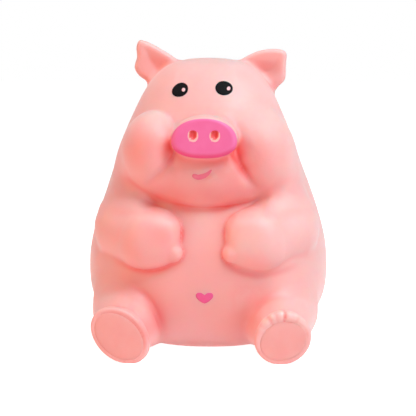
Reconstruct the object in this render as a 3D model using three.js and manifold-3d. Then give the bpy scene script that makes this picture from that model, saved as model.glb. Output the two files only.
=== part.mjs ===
// A seated pig squeeze toy: a soft hollow skin, a dough filling, sole discs and painted details.
// Millimetres, +Z up. The pig looks along -Y and its own left is +X.
// The origin is on the floor, under the middle of the belly.
import * as THREE from 'three';
import { mergeVertices } from 'three/addons/utils/BufferGeometryUtils.js';
import Module from 'manifold-3d';

const wasm = await Module();
wasm.setup();

// Walls and clearances
const skinWall = 2.0;
const seamGap = 0.3; // between pieces that rest on each other
const floorCut = 0.5; // how much the soft base is flattened by what it stands on
const paintFilm = 0.3;

// Torso: a wide belly under a narrower chest
const bellyWidth = 76.6;
const bellyDepth = 70;
const bellyHeight = 53;
const bellyPower = 2.5; // 2 would be an ellipsoid, more is boxier
const chestWidth = 69;
const chestDepth = 59;
const chestHeight = 58;
const chestLift = 15.5; // chest centre above belly centre
const chestSetback = 1.5;
const chestBlend = 6;

// Head: a flat-topped cranium, a jaw in front and below, a muzzle and two cheeks
const craniumWidth = 44.8;
const craniumDepth = 46;
const craniumHeight = 52;
const craniumPower = 2.7;
const craniumLift = 24.8; // cranium centre above chest centre
const craniumReach = 2.5; // cranium centre in front of chest centre
const jawWidth = 54.2;
const jawDepth = 43;
const jawHeight = 36.6;
const jawPower = 2.1;
const jawReach = 9.5; // jaw centre in front of cranium centre
const jawDrop = 7.4; // jaw centre below cranium centre
const jawBlend = 12;
const muzzleWidth = 38;
const muzzleDepth = 28;
const muzzleHeight = 27;
const muzzleReach = 11; // muzzle centre in front of jaw centre
const muzzleDrop = 1.3; // muzzle centre below jaw centre
const muzzleBlend = 4;
const cheekWidth = 20.6;
const cheekDepth = 25.6;
const cheekHeight = 25.9;
const cheekSpreadRight = 15.5;
const cheekSpreadLeft = 17.8;
const cheekReachRight = 11.9; // cheek centre in front of jaw centre
const cheekReachLeft = 10.7;
const cheekLiftRight = 4.5; // cheek centre above jaw centre
const cheekLiftLeft = 3.7;
const cheekBlendRight = 2.0;
const cheekBlendLeft = 3.5;

// Snout: a short barrel with a domed top, a flatter bottom and a rounded front edge
const snoutWidth = 20;
const snoutArch = 8.0; // top of the barrel above its widest line
const snoutSag = 5.4; // bottom of the barrel below its widest line
const snoutArchPower = 2.05; // 2 would be round, more is squarer
const snoutSagPower = 2.4;
const snoutShift = 0.6; // towards the pig's left
const snoutStand = 7.2; // front of the barrel in front of the face
const snoutLift = 9.2; // widest line above jaw centre
const snoutRoot = 9; // how far the barrel runs back into the face
const snoutEdge = 1.8; // radius of the front edge
const nostrilSpread = 3.3;
const nostrilLift = 1.3; // nostrils above the widest line
const nostrilWidth = 1.6;
const nostrilHeight = 2.3;
const nostrilDepth = 2.4;
const nostrilTaper = 0.8; // width at the bottom as a share of that at the mouth
const nostrilRim = 0.8; // bare skin round each nostril
const snoutPaintReach = 2.6; // how far the paint runs back from the front, at mid height
const snoutPaintSlant = 12; // degrees: the paint reaches further back underneath

// Ears: pointed, cupped flaps at the corners of the head
const earRootWidth = 13.6;
const earReach = 12.9; // root to tip
const earTipShift = 1.8; // tip towards the upper end of the root
const earCornerReach = 6.8; // root to the lower corner
const earCornerShift = 6.2; // lower corner towards the lower end of the root
const earThickness = 3.8;
const earRim = 2.2; // width of the rolled rim
const earHollowDepth = 2.6;
const earRootDepth = 3; // how far the root runs into the head
const earRootSink = 1.5; // root behind the surface of the head
const earAngle = 35; // degrees from upright to the root, seen from the front
const earSetback = 1.5;
const earTurnRight = 44; // degrees from upright to the flap
const earTurnLeft = 62;

// Arms folded on the belly, standing proud of it by their relief
const shoulderInset = 10.9; // shoulder inside the side of the chest
const shoulderDrop = 2.2; // shoulder below chest centre
const shoulderRadius = 11.8;
const shoulderRelief = 4.2;
const wristInset = 17;
const wristDrop = 4.9; // wrist below chest centre
const wristRadius = 10.2;
const wristRelief = 5.3;
const handWidth = 15.8;
const handDepth = 16.8;
const handHeight = 16;
const handPower = 3.1; // blunt
const handReach = 2.9; // middle of the hand inwards of the wrist
const handStand = 2.6; // middle of the hand in front of the wrist
const handBlend = 5;
const thumbRadius = 2.9;
const thumbDrop = 3.4; // thumb below the middle of the hand
const thumbReach = 5.7; // thumb inwards of the middle of the hand
const thumbStand = 5.2; // thumb in front of the middle of the hand

// Legs stretched forward: a thigh, an ankle, and a foot that flares to a flat oval end with a sole in it
const hipInset = 15.9; // hip inside the side of the belly
const hipRadius = 12.9;
const hipSetback = 17.5; // hip behind the front of the belly
const ankleRadius = 7.1;
const footInset = 13.3; // middle of the foot inside the side of the belly
const footReach = 7; // sole in front of the belly
const footSplay = 7; // degrees outwards
const footFlare = 3; // thickness of the flared end
const flareRun = 2.5; // over which it narrows to the ankle
const footHeightRight = 8.5; // middle of the foot above the floor
const footLongRight = 10; // half sizes of the oval
const footShortRight = 7.4;
const footTiltRight = 40; // degrees, the outer end of the long axis up
const footHeightLeft = 8.0;
const footLongLeft = 8.4;
const footShortLeft = 8.0;
const footTiltLeft = 20;
const soleThickness = 1.8;
const soleRim = 1.3; // skin left round the sole
const soleShiftRight = 0.2; // sole outwards of the middle of the foot
const soleDropRight = 0.2; // sole below the middle of the foot
const soleDropLeft = 1.0;
const collarDepth = 0.8; // taken off the left sole's short half by the gathered collar above it
const soleRecess = 0.4; // sole below the rim

// Tail: one small curl at the back
const tailHeight = 24; // above the floor
const tailRadius = 2.0;
const curlRadius = 3.8;
const tailSweep = 320; // degrees of the curl
const tailStand = 2.0; // middle of the curl off the back

// Painted details
const eyeSpreadRight = 7.6;
const eyeSpreadLeft = 6.3;
const eyeHeight = 17.1; // above cranium centre
const eyeLength = 5.4;
const eyeBreadth = 4.2;
const eyeTiltRight = 25; // degrees, the inner corner up
const eyeTiltLeft = -8;
const glintDiameter = 1.4;
const glintShift = 1.2; // glint from the middle of the eye, towards the pig's left
const mouthLength = 6.2;
const mouthBreadth = 1.9;
const mouthDrop = 1.7; // middle of the mouth below jaw centre
const mouthCurve = 1.1; // how far its middle hangs
const mouthTilt = 14; // degrees, the pig's left corner up
const mouthShift = -0.1;
const navelShift = 0.6;
const heartWidth = 5.4;
const heartLength = 3.5;
const heartHeight = 19.5; // above the floor
const heartCurve = [13, -5, -2]; // weights of one, two and three times the angle

// Fineness of the faceted forms
const torsoDetail = 7;
const headDetail = 9;
const limbDetail = 5;
const torsoHollowDetail = 4;
const headHollowDetail = 5;
const limbHollowDetail = 3;
const surfaceSteps = 26;
const snoutSides = 32;
const soleSides = 40;
const filmSides = 20;
const filmRings = 2;
const earSides = 26;
const tailSteps = 16;

// Fields: each gives about how far a point is outside a form, in millimetres.
const lump = (centre, size, power = 2) => {
  const half = size.map((length) => length / 2);
  return (point) => {
    const ratio = [point.x - centre.x, point.y - centre.y, point.z - centre.z].map(
      (offset, axis) => Math.abs(offset) / half[axis] + 1e-9,
    );
    const scale = ratio.reduce((sum, value) => sum + value ** power, 0) ** (1 / power);
    const slope = Math.hypot(...ratio.map((value, axis) => (value / scale) ** (power - 1) / half[axis]));
    return (scale - 1) / slope;
  };
};

const taper = (from, to, fromRadius, toRadius) => {
  const along = to.clone().sub(from);
  return (point) => {
    const share = THREE.MathUtils.clamp(point.clone().sub(from).dot(along) / along.lengthSq(), 0, 1);
    const axisPoint = from.clone().addScaledVector(along, share);
    return point.distanceTo(axisPoint) - THREE.MathUtils.lerp(fromRadius, toRadius, share);
  };
};

const blend = (first, second, width) => (point) => {
  const a = first(point);
  const b = second(point);
  const overlap = Math.max(width - Math.abs(a - b), 0) / width;
  return Math.min(a, b) - (overlap * overlap * width) / 4;
};

// Distance from start, against direction, at which a ray from outside first meets a form's level
const meet = (field, start, direction, far, level = 0) => {
  const at = (distance) => field(start.clone().addScaledVector(direction, distance)) - level;
  let outside = far;
  let inside = far;
  while (at(inside) > 0 && inside > 0) {
    outside = inside;
    inside -= Math.max(at(inside) * 0.5, 0.2);
  }
  for (let step = 0; step < surfaceSteps; step += 1) {
    const middle = (outside + inside) / 2;
    if (at(middle) > 0) outside = middle;
    else inside = middle;
  }
  return (outside + inside) / 2;
};

const reachOfRays = bellyWidth + bellyDepth; // well outside every form
const forwards = new THREE.Vector3(0, -1, 0);

// The Y of a form's front face at a place seen from the front
const frontOf = (field, x, z, level = 0) =>
  -meet(field, new THREE.Vector3(x, 0, z), forwards, reachOfRays, level);

const closed = (geometry) => {
  const bare = geometry.clone();
  bare.deleteAttribute('normal');
  bare.deleteAttribute('uv');
  return mergeVertices(bare, 1e-5);
};

const toSolid = (geometry) => {
  const merged = closed(geometry);
  return new wasm.Manifold(
    new wasm.Mesh({
      numProp: 3,
      vertProperties: new Float32Array(merged.attributes.position.array),
      triVerts: new Uint32Array(merged.index.array),
    }),
  );
};

const toGeometry = (solid) => {
  const mesh = solid.getMesh();
  const geometry = new THREE.BufferGeometry();
  geometry.setAttribute('position', new THREE.BufferAttribute(new Float32Array(mesh.vertProperties), 3));
  geometry.setIndex(new THREE.BufferAttribute(new Uint32Array(mesh.triVerts), 1));
  geometry.computeVertexNormals();
  return geometry;
};

// A ball whose points move along their own rays onto a form's level
const swell = (field, centre, detail, level = 0) => {
  const geometry = closed(new THREE.IcosahedronGeometry(1, detail));
  const places = geometry.attributes.position;
  for (let index = 0; index < places.count; index += 1) {
    const ray = new THREE.Vector3().fromBufferAttribute(places, index).normalize();
    const place = centre.clone().addScaledVector(ray, meet(field, centre, ray, reachOfRays, level));
    places.setXYZ(index, place.x, place.y, place.z);
  }
  return toSolid(geometry);
};

const block = (size, centre, turn = new THREE.Euler()) => {
  const geometry = new THREE.BoxGeometry(...size);
  geometry.applyMatrix4(new THREE.Matrix4().makeRotationFromEuler(turn));
  geometry.translate(centre.x, centre.y, centre.z);
  return toSolid(geometry);
};

// A closed surface of rings round an axis that starts and ends in a point
const wrap = (ringCount, sides, place) => {
  const points = [];
  const indices = [];
  const last = ringCount - 1;
  points.push(place(0, 0));
  for (let ring = 1; ring < last; ring += 1) {
    for (let step = 0; step < sides; step += 1) points.push(place(ring, step / sides));
  }
  points.push(place(last, 0));
  const at = (ring, step) => 1 + (ring - 1) * sides + (step % sides);
  const end = points.length - 1;
  for (let step = 0; step < sides; step += 1) {
    indices.push(0, at(1, step), at(1, step + 1));
    for (let ring = 1; ring < last - 1; ring += 1) {
      indices.push(at(ring, step), at(ring + 1, step), at(ring + 1, step + 1));
      indices.push(at(ring, step), at(ring + 1, step + 1), at(ring, step + 1));
    }
    indices.push(at(last - 1, step), end, at(last - 1, step + 1));
  }
  const geometry = new THREE.BufferGeometry().setFromPoints(points);
  geometry.setIndex(indices);
  geometry.computeVertexNormals();
  return geometry;
};

// Everything below a height
const below = (height) =>
  block([reachOfRays, reachOfRays, reachOfRays], new THREE.Vector3(0, 0, height - reachOfRays / 2));

const joined = (solids) => solids.reduce((sum, solid) => sum.add(solid));

// Main places
const bellyCentre = new THREE.Vector3(0, 0, bellyHeight / 2 - floorCut);
const chestCentre = new THREE.Vector3(0, chestSetback, bellyCentre.z + chestLift);
const craniumCentre = new THREE.Vector3(0, chestSetback - craniumReach, chestCentre.z + craniumLift);
const jawCentre = new THREE.Vector3(0, craniumCentre.y - jawReach, craniumCentre.z - jawDrop);

// Torso
const torsoField = blend(
  lump(bellyCentre, [bellyWidth, bellyDepth, bellyHeight], bellyPower),
  lump(chestCentre, [chestWidth, chestDepth, chestHeight]),
  chestBlend,
);
const torsoMiddle = bellyCentre.clone().lerp(chestCentre, 0.5);
const torsoForm = (level, detail = torsoDetail) => swell(torsoField, torsoMiddle, detail, level);

// Head
const cheekField = (across, reach, lift) =>
  lump(
    new THREE.Vector3(across, jawCentre.y - reach, jawCentre.z + lift),
    [cheekWidth, cheekDepth, cheekHeight],
  );
const skullField = blend(
  lump(craniumCentre, [craniumWidth, craniumDepth, craniumHeight], craniumPower),
  lump(jawCentre, [jawWidth, jawDepth, jawHeight], jawPower),
  jawBlend,
);
const muzzleCentre = new THREE.Vector3(snoutShift, jawCentre.y - muzzleReach, jawCentre.z - muzzleDrop);
const muzzleField = lump(muzzleCentre, [muzzleWidth, muzzleDepth, muzzleHeight]);
const faceField = blend(skullField, muzzleField, muzzleBlend);
const headField = blend(
  blend(faceField, cheekField(-cheekSpreadRight, cheekReachRight, cheekLiftRight), cheekBlendRight),
  cheekField(cheekSpreadLeft, cheekReachLeft, cheekLiftLeft),
  cheekBlendLeft,
);
const headMiddle = craniumCentre.clone().lerp(jawCentre, 0.5);
const headForm = (level, detail = headDetail) => swell(headField, headMiddle, detail, level);

// Arms: each lies on the torso, so its middle line follows the belly's front
const armField = (side) => {
  const beside = (inset, drop) =>
    new THREE.Vector3(side * (chestWidth / 2 - inset), 0, chestCentre.z - drop);
  const shoulder = beside(shoulderInset, shoulderDrop);
  shoulder.y = frontOf(torsoField, shoulder.x, shoulder.z) + shoulderRadius - shoulderRelief;
  const wrist = beside(wristInset, wristDrop);
  wrist.y = frontOf(torsoField, wrist.x, wrist.z) + wristRadius - wristRelief;
  const hand = new THREE.Vector3(wrist.x - side * handReach, wrist.y - handStand, wrist.z);
  return {
    hand,
    middle: shoulder.clone().lerp(hand, 0.5),
    field: blend(
      taper(shoulder, wrist, shoulderRadius, wristRadius),
      lump(hand, [handWidth, handDepth, handHeight], handPower),
      handBlend,
    ),
  };
};
const armForm = (side, level, detail = limbDetail) => {
  const arm = armField(side);
  return swell(arm.field, arm.middle, detail, level);
};
const thumbSolid = (side) => {
  const geometry = new THREE.IcosahedronGeometry(thumbRadius, 3);
  const { hand } = armField(side);
  geometry.translate(hand.x - side * thumbReach, hand.y - thumbStand, hand.z - thumbDrop);
  return toSolid(geometry);
};

// Feet: the middle, the half sizes and the tilt of an oval end, and of the sole in it
const footShape = (side) =>
  side < 0
    ? { height: footHeightRight, long: footLongRight, short: footShortRight, tilt: footTiltRight }
    : { height: footHeightLeft, long: footLongLeft, short: footShortLeft, tilt: footTiltLeft };
const soleShape = (side) => {
  const foot = footShape(side);
  const collar = side < 0 ? 0 : collarDepth;
  return {
    shift: side < 0 ? soleShiftRight : 0,
    drop: side < 0 ? soleDropRight : soleDropLeft,
    long: foot.long - soleRim,
    short: foot.short - soleRim - collar,
  };
};

// Legs: each runs from the hip to a flat foot end, square to the leg's splay
const hipPlace = (side) =>
  new THREE.Vector3(side * (bellyWidth / 2 - hipInset), -bellyDepth / 2 + hipSetback, hipRadius - floorCut);
const footPlace = (side) =>
  new THREE.Vector3(side * (bellyWidth / 2 - footInset), -bellyDepth / 2 - footReach, footShape(side).height);
const footTurn = (side) => new THREE.Euler(0, 0, side * THREE.MathUtils.degToRad(footSplay));
const footward = (side) => forwards.clone().applyEuler(footTurn(side));

// The long and the short direction of a foot's oval
const footAxes = (side) => {
  const out = footward(side);
  const across = new THREE.Vector3(-side * out.y, side * out.x, 0);
  const tilt = THREE.MathUtils.degToRad(footShape(side).tilt);
  const up = new THREE.Vector3(0, 0, 1);
  return {
    out,
    across,
    long: across.clone().multiplyScalar(Math.cos(tilt)).addScaledVector(up, Math.sin(tilt)),
    short: up.clone().multiplyScalar(Math.cos(tilt)).addScaledVector(across, -Math.sin(tilt)),
  };
};
const legField = (side) => {
  const ankle = footPlace(side).addScaledVector(footward(side), -footFlare);
  return taper(hipPlace(side), ankle, hipRadius, ankleRadius);
};
// Everything in front of a plane square to the foot, a given way behind the foot's end
const beforeFoot = (side, inset) =>
  block(
    [reachOfRays, reachOfRays, reachOfRays],
    footPlace(side).addScaledVector(footward(side), reachOfRays / 2 - inset),
    footTurn(side),
  );
const legForm = (side, level, inset = 0, detail = limbDetail) => {
  const middle = hipPlace(side).lerp(footPlace(side), 0.5);
  return swell(legField(side), middle, detail, level).subtract(beforeFoot(side, inset));
};

// A solid of ovals square to the foot, from back to front: both half sizes, and how far beyond its end
const footLoft = (side, profile, { shift, drop } = { shift: 0, drop: 0 }) => {
  const axes = footAxes(side);
  const geometry = wrap(profile.length, soleSides, (ring, share) => {
    const [long, short, beyond] = profile[ring];
    const angle = share * 2 * Math.PI;
    return new THREE.Vector3(long * Math.cos(angle), beyond, short * Math.sin(angle));
  });
  const placing = new THREE.Matrix4().makeBasis(axes.long.multiplyScalar(-side), axes.out, axes.short);
  const centre = footPlace(side).addScaledVector(axes.across, shift);
  placing.setPosition(centre.setZ(centre.z - drop));
  return toSolid(geometry.applyMatrix4(placing));
};
const footDisc = (side, long, short, back, front) =>
  footLoft(side, [[0, 0, back], [long, short, back], [long, short, front], [0, 0, front]], soleShape(side));

// The flared end of the foot
const flareForm = (side) => {
  const { long, short } = footShape(side);
  const end = -footFlare - flareRun;
  const profile = [
    [0, 0, end],
    [ankleRadius, ankleRadius, end],
    [long, short, -footFlare],
    [long, short, 0],
    [0, 0, 0],
  ];
  return footLoft(side, profile);
};

// The hollow of the whole skin, or the lump that fills it
const soleBack = soleRecess + soleThickness + seamGap;
const innerForm = (level) => {
  const forms = [torsoForm(level, torsoHollowDetail), headForm(level, headHollowDetail)];
  for (const side of [-1, 1]) {
    forms.push(armForm(side, level, limbHollowDetail));
    forms.push(legForm(side, level, soleBack - level, limbHollowDetail));
  }
  return joined(forms).subtract(below(-level));
};
const cavity = innerForm(-skinWall);
const fillingSolid = innerForm(-skinWall - seamGap);

const torsoSolid = torsoForm(0).subtract(below(0)).subtract(cavity);
const aroundTorso = torsoForm(seamGap);
const headSolid = headForm(0).subtract(aroundTorso).subtract(cavity);
const aroundHead = headForm(seamGap);
const armSolid = (side) =>
  armForm(side, 0)
    .add(thumbSolid(side))
    .subtract(aroundTorso)
    .subtract(aroundHead)
    .subtract(cavity);

// A leg's skin is open at the foot, with a seat that takes the sole
const holeRadius = ankleRadius - skinWall;
const legSolid = (side) => {
  const { long, short } = soleShape(side);
  return legForm(side, 0)
    .add(flareForm(side))
    .subtract(below(0))
    .subtract(aroundTorso)
    .subtract(cavity)
    .subtract(footDisc(side, long + seamGap, short + seamGap, -soleBack, floorCut))
    .subtract(footDisc(side, holeRadius, holeRadius, -soleBack - 2 * skinWall, -soleBack + seamGap));
};

// A sole is an oval disc with a round spigot behind it that plugs the foot
const soleSolid = (side) => {
  const { long, short } = soleShape(side);
  const spigot = holeRadius - seamGap;
  const ease = soleThickness / 3;
  const back = -soleRecess - soleThickness;
  const profile = [
    [0, 0, back - skinWall],
    [spigot, spigot, back - skinWall],
    [spigot, spigot, back],
    [long, short, back],
    [long, short, -soleRecess - ease],
    [long - ease / 3, short - ease / 3, -soleRecess - ease / 3],
    [long - ease, short - ease, -soleRecess],
    [0, 0, -soleRecess + ease / 2],
  ];
  return footLoft(side, profile, soleShape(side));
};

// Snout: an outline seen from the front, drawn out along the pig's nose
const asFront = new THREE.Matrix4().makeBasis(
  new THREE.Vector3(1, 0, 0),
  new THREE.Vector3(0, 0, 1),
  new THREE.Vector3(0, -1, 0),
);
const snoutHeight = jawCentre.z + snoutLift;
const snoutFront = frontOf(headField, snoutShift, snoutHeight) - snoutStand;
const snoutOutline = (grow) => {
  const points = [];
  for (let step = 0; step < snoutSides; step += 1) {
    const angle = (step / snoutSides) * 2 * Math.PI;
    const power = Math.sin(angle) > 0 ? snoutArchPower : snoutSagPower;
    const across = Math.sign(Math.cos(angle)) * Math.abs(Math.cos(angle)) ** (2 / power);
    const up = Math.sign(Math.sin(angle)) * Math.abs(Math.sin(angle)) ** (2 / power);
    const height = (up > 0 ? snoutArch : snoutSag) + grow;
    points.push(new THREE.Vector2(across * (snoutWidth / 2 + grow), up * height));
  }
  return new THREE.Shape(points);
};
const snoutBarrel = (grow) => {
  const straight = snoutStand + snoutRoot + grow - 2 * snoutEdge;
  const geometry = new THREE.ExtrudeGeometry(snoutOutline(grow), {
    depth: straight,
    bevelThickness: snoutEdge,
    bevelSize: snoutEdge,
    bevelOffset: -snoutEdge,
    bevelSegments: 3,
    curveSegments: 1,
  });
  geometry.translate(0, 0, -straight - snoutEdge);
  geometry.applyMatrix4(asFront);
  geometry.translate(snoutShift, snoutFront - grow, snoutHeight);
  return toSolid(geometry);
};
const nostrils = (grow) =>
  joined(
    [-1, 1].map((side) => {
      const geometry = new THREE.CylinderGeometry(1, nostrilTaper, 2 * nostrilDepth, 20);
      geometry.scale(nostrilWidth / 2 + grow, 1, nostrilHeight / 2 + grow);
      geometry.rotateX(Math.PI);
      geometry.translate(snoutShift + side * nostrilSpread, snoutFront, snoutHeight + nostrilLift);
      return toSolid(geometry);
    }),
  );
const snoutSolid = snoutBarrel(0).subtract(aroundHead).subtract(nostrils(0));

// Snout paint: a film over the front, further back underneath, with a bare rim at each nostril
const behindPaint = () => {
  const turn = new THREE.Euler(THREE.MathUtils.degToRad(-snoutPaintSlant), 0, 0);
  const deep = 2 * snoutWidth;
  const offset = new THREE.Vector3(0, deep / 2, 0).applyEuler(turn);
  const onPlane = new THREE.Vector3(snoutShift, snoutFront + snoutPaintReach, snoutHeight);
  return block([deep, deep, deep], onPlane.add(offset), turn);
};
const snoutPaintSolid = snoutBarrel(seamGap + paintFilm)
  .subtract(snoutBarrel(seamGap))
  .subtract(behindPaint())
  .subtract(nostrils(nostrilRim));

// Ears: a cupped flap, lofted from the bottom of its hollow over the rolled rim to its back
const earSolid = (side) => {
  const edge = new THREE.CatmullRomCurve3(
    [
      [-earRootWidth / 2, -earRootDepth],
      [0, -earRootDepth - 1],
      [earRootWidth / 2, -earRootDepth],
      [earCornerShift + 0.6, earCornerReach * 0.5],
      [earCornerShift, earCornerReach],
      [earCornerShift * 0.3, earReach * 0.72],
      [-earTipShift, earReach],
      [-earRootWidth * 0.36, earReach * 0.6],
      [-earRootWidth * 0.48, earReach * 0.2],
    ].map(([across, out]) => new THREE.Vector3(side * across, out, 0)),
    true,
    'centripetal',
  );
  const middle = new THREE.Vector3(0, earReach * 0.36, 0);
  const rolled = 1 - earRim / (earRootWidth / 2);
  const front = earThickness / 2;
  // Share of the way out to the edge, and height in front of the flap's middle
  const profile = [
    [0, front - earHollowDepth],
    [rolled * 0.6, front - earHollowDepth * 0.85],
    [rolled, front - earHollowDepth * 0.3],
    [(1 + rolled) / 2, front],
    [0.97, front * 0.6],
    [1, 0],
    [0.95, -front * 0.7],
    [0.6, -front],
    [0, -front * 1.1],
  ];
  const flap = wrap(profile.length, earSides, (ring, share) => {
    const [out, height] = profile[ring];
    const place = middle.clone().lerp(edge.getPoint(side < 0 ? 1 - share : share), out);
    return place.setZ(height);
  });
  const turn = side * THREE.MathUtils.degToRad(side < 0 ? earTurnRight : earTurnLeft);
  const outwards = new THREE.Vector3(Math.sin(turn), 0, Math.cos(turn));
  const placing = new THREE.Matrix4().makeBasis(
    new THREE.Vector3(Math.cos(turn), 0, -Math.sin(turn)),
    outwards,
    new THREE.Vector3(0, -1, 0),
  );
  const angle = side * THREE.MathUtils.degToRad(earAngle);
  const ray = new THREE.Vector3(Math.sin(angle), 0, Math.cos(angle));
  const root = craniumCentre.clone().addScaledVector(ray, meet(headField, craniumCentre, ray, reachOfRays));
  root.addScaledVector(outwards, -earRootSink);
  root.y += earSetback;
  placing.setPosition(root);
  flap.applyMatrix4(placing);
  return toSolid(flap).subtract(aroundHead);
};

// Tail: one curl that grows out of the back and stands off it
const tailSolid = () => {
  const backwards = new THREE.Vector3(0, 1, 0);
  const start = new THREE.Vector3(0, 0, tailHeight);
  const back = meet(torsoField, start, backwards, reachOfRays);
  const points = [];
  for (let step = 0; step <= tailSteps; step += 1) {
    const share = step / tailSteps;
    const angle = THREE.MathUtils.degToRad(-90 + tailSweep * share);
    const out = back - tailRadius + (tailStand + 2 * tailRadius) * Math.sqrt(share);
    points.push(
      new THREE.Vector3(curlRadius * Math.cos(angle), out, tailHeight + curlRadius * Math.sin(angle)),
    );
  }
  const section = new THREE.Shape();
  section.absarc(0, 0, tailRadius, 0, 2 * Math.PI);
  const tube = new THREE.ExtrudeGeometry(section, {
    steps: tailSteps,
    curveSegments: 5,
    extrudePath: new THREE.CatmullRomCurve3(points),
  });
  const tip = new THREE.SphereGeometry(tailRadius, 10, 8);
  const last = points.at(-1);
  tip.translate(last.x, last.y, last.z);
  return toSolid(tube).add(toSolid(tip)).subtract(aroundTorso);
};

// A closed film on a form, printed from the front: edge gives a point of the print from an angle
// and from the share of the way out to its rim
const film = (field, edge, lift) => {
  const near = seamGap + lift;
  const rings = [];
  for (let ring = 0; ring <= filmRings; ring += 1) rings.push([ring / filmRings, near + paintFilm]);
  for (let ring = filmRings; ring >= 0; ring -= 1) rings.push([ring / filmRings, near]);
  return wrap(rings.length, filmSides, (ring, share) => {
    const [out, level] = rings[ring];
    const [x, z] = edge(share * 2 * Math.PI, out);
    return new THREE.Vector3(x, frontOf(field, x, z, level), z);
  });
};

const turned = (x, z, degrees) => {
  const angle = THREE.MathUtils.degToRad(degrees);
  return [x * Math.cos(angle) - z * Math.sin(angle), x * Math.sin(angle) + z * Math.cos(angle)];
};
const ovalEdge = (x, z, length, breadth, tilt) => (angle, share) => {
  const place = turned((share * Math.cos(angle) * length) / 2, (share * Math.sin(angle) * breadth) / 2, tilt);
  return [x + place[0], z + place[1]];
};
const eyeZ = craniumCentre.z + eyeHeight;
const eyeX = (side) => (side < 0 ? -eyeSpreadRight : eyeSpreadLeft);
const eyeTilt = (side) => (side < 0 ? eyeTiltRight : eyeTiltLeft);
const eyeEdge = (side) => ovalEdge(eyeX(side), eyeZ, eyeLength, eyeBreadth, eyeTilt(side));
const glintEdge = (side) => ovalEdge(eyeX(side) + glintShift, eyeZ, glintDiameter, glintDiameter, 0);

// The mouth is an oval bent along a hanging arc
const mouthEdge = (angle, share) => {
  const along = share * Math.cos(angle);
  const across = (share * Math.sin(angle) * mouthBreadth) / 2;
  const hang = mouthCurve * (along * along - 1);
  const place = turned((along * mouthLength) / 2, across + hang, mouthTilt);
  return [mouthShift + place[0], jawCentre.z - mouthDrop + place[1]];
};

// The navel is a heart: two lobes above, a point below
const heartEdge = (angle, share) => {
  const lobes = Math.sin(angle) ** 3;
  const rise = heartCurve.reduce((sum, weight, index) => sum + weight * Math.cos((index + 1) * angle), 0);
  const x = navelShift - (share * lobes * heartWidth) / 2;
  return [x, heartHeight + (share * rise * heartLength) / (2 * (heartCurve[0] + 1))];
};

// Finishes
const skin = { color: 0xf7aaa4, roughness: 0.55, metalness: 0 };
const solePink = { color: 0xee9a94, roughness: 0.6, metalness: 0 };
const magenta = { color: 0xf0629f, roughness: 0.45, metalness: 0 };
const black = { color: 0x1c181a, roughness: 0.2, metalness: 0 };
const pearl = { color: 0xffe3dc, roughness: 0.25, metalness: 0 };
const dough = { color: 0xf3e6d8, roughness: 0.9, metalness: 0 };

const pieces = [
  ['torso_skin', torsoSolid, skin],
  ['head_skin', headSolid, skin],
  ['snout', snoutSolid, skin],
  ['ear_right', earSolid(-1), skin],
  ['ear_left', earSolid(1), skin],
  ['arm_right', armSolid(-1), skin],
  ['arm_left', armSolid(1), skin],
  ['leg_right', legSolid(-1), skin],
  ['leg_left', legSolid(1), skin],
  ['tail', tailSolid(), skin],
  ['sole_right', soleSolid(-1), solePink],
  ['sole_left', soleSolid(1), solePink],
  ['filling', fillingSolid, dough],
  ['snout_paint', snoutPaintSolid, magenta],
];
const eyeTop = seamGap + paintFilm;
const prints = [
  ['eye_right', film(headField, eyeEdge(-1), 0), black],
  ['eye_left', film(headField, eyeEdge(1), 0), black],
  ['eye_glint_right', film(headField, glintEdge(-1), eyeTop), pearl],
  ['eye_glint_left', film(headField, glintEdge(1), eyeTop), pearl],
  ['mouth_paint', film(headField, mouthEdge, 0), magenta],
  ['navel_heart', film(torsoField, heartEdge, 0), magenta],
];

const pig = new THREE.Group();
for (const [name, solid, finish] of pieces) {
  const mesh = new THREE.Mesh(toGeometry(solid), new THREE.MeshStandardMaterial(finish));
  mesh.name = name;
  pig.add(mesh);
}
for (const [name, geometry, finish] of prints) {
  const mesh = new THREE.Mesh(geometry, new THREE.MeshStandardMaterial(finish));
  mesh.name = name;
  pig.add(mesh);
}

export default pig;
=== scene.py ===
# A seated pig squeeze toy: one moulded soft skin over a dough filling, two sole discs and painted details.
# The pig looks along -Y and its own left is +X. Sizes in the dictionaries are millimetres.
import math

import bmesh
import bpy
import numpy as np
from mathutils import Matrix, Vector, noise


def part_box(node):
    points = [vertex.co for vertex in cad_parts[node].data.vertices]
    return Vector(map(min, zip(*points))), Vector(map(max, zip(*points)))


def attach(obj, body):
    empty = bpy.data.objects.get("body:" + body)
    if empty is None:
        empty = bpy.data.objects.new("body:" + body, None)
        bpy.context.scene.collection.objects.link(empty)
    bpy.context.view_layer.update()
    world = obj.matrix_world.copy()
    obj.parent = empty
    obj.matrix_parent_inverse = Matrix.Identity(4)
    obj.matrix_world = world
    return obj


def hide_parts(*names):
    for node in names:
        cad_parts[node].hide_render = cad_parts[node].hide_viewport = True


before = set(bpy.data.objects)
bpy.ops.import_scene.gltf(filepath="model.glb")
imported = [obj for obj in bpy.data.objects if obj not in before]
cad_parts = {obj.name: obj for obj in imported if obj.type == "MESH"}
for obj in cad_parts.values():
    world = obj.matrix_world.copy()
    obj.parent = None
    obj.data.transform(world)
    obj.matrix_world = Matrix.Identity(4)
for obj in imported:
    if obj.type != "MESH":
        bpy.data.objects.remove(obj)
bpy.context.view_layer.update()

mm = 0.001
nodeBox = {name: [np.array(corner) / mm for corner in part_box(name)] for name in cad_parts}


def middleOf(node):
    low, high = nodeBox[node]
    return (low + high) / 2


def mirrored(place, side):
    return np.array(place) * (side, 1, 1)


def mixed(first, second, share):
    return first + (second - first) * share


print("frame loaded:", len(nodeBox), "nodes")


# Forms are fields: each gives about how far every point is outside a form, in millimetres
def lump(points, centre, size, power=2.0):
    half = np.array(size) / 2
    ratio = np.abs(points - np.array(centre)) / half + 1e-9
    scale = (ratio ** power).sum(1) ** (1 / power)
    slope = np.linalg.norm((ratio / scale[:, None]) ** (power - 1) / half, axis=1)
    return (scale - 1) / slope


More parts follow.
